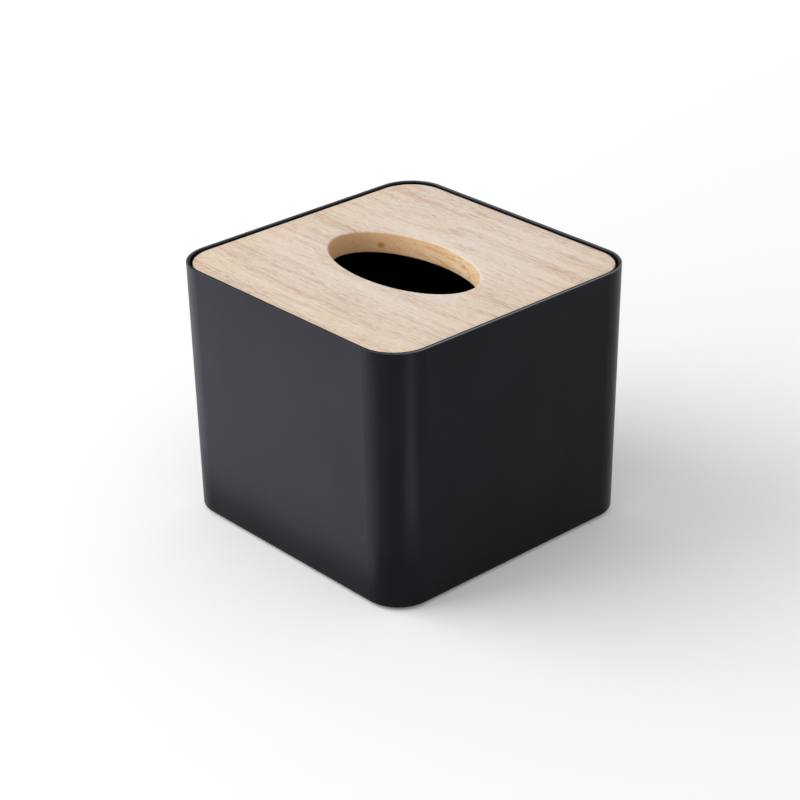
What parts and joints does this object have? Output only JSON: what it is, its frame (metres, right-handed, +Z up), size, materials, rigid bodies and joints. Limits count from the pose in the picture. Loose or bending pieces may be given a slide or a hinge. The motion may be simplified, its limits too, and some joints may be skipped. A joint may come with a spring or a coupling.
{
  "type": "tissue box",
  "caption": "Square plastic tissue box with rounded corners and a slight taper to its base, closed by a drop-in wooden lid with an oval opening for pulling tissues out.",
  "frame": {"origin": "centre of the footprint at table level, on the undersides of the foot pads", "axes": "+Z up out of the lid; +X along the oval opening's long axis and the wood's grain; -Y is the front"},
  "size_m": [0.14, 0.14, 0.117],
  "materials": {
    "black_plastic": "satin black moulded polypropylene with a fine texture",
    "pale_wood": "pale open-pored hardwood, sanded and clear oiled, grain along the opening's long axis",
    "pad_rubber": "dull dark grey foam rubber"
  },
  "bodies": {
    "box": {"box_shell": "black_plastic", "foot_pad_front_left": "pad_rubber", "foot_pad_front_right": "pad_rubber", "foot_pad_rear_left": "pad_rubber", "foot_pad_rear_right": "pad_rubber"},
    "lid": {"wooden_lid": "pale_wood"}
  },
  "joints": [
    {"name": "lid_lift", "type": "slide", "parent": "box", "child": "lid", "axis": [0, 0, 1], "range_m": [0, 0.12]}
  ]
}
